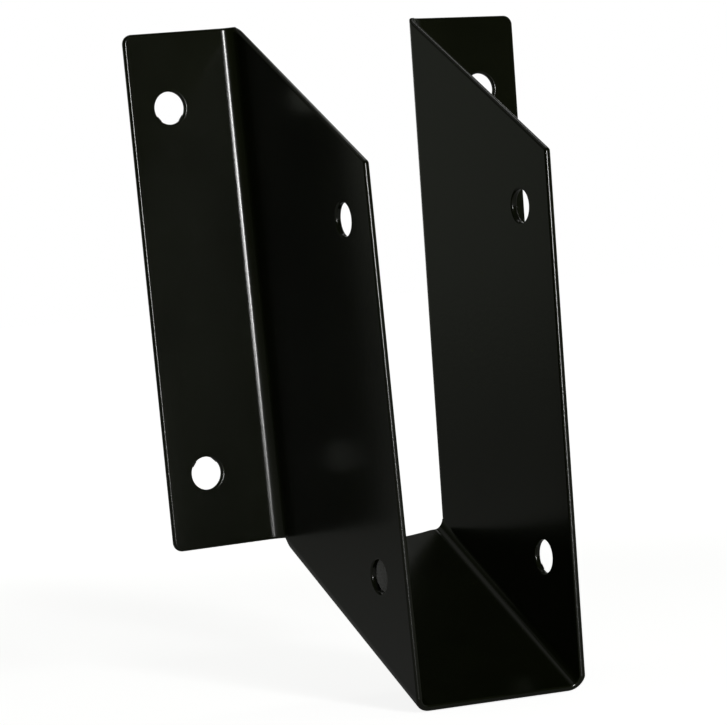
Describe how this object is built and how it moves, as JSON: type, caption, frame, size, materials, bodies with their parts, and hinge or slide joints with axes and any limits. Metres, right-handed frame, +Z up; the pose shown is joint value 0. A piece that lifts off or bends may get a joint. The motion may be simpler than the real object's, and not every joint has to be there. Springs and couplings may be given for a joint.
{
  "type": "angled joist hanger",
  "caption": "Folded sheet-metal joist hanger with a sloping U-shaped seat, tall side walls and drilled flanges that fasten flat to a beam or ledger.",
  "frame": {"origin": "midway between the lower flange holes, on the mounting plane that the backs of the flanges share", "axes": "+Y into the beam that the hanger is fixed to, +Z up, +X to the right for a viewer who faces the beam; the seat runs out towards -Y and falls"},
  "size_m": [0.1018, 0.063, 0.1563],
  "materials": {
    "powder_coat": "black powder coat, satin, with a fine orange-peel grain"
  },
  "bodies": {
    "root": {"joist_hanger": "powder_coat"}
  },
  "joints": []
}
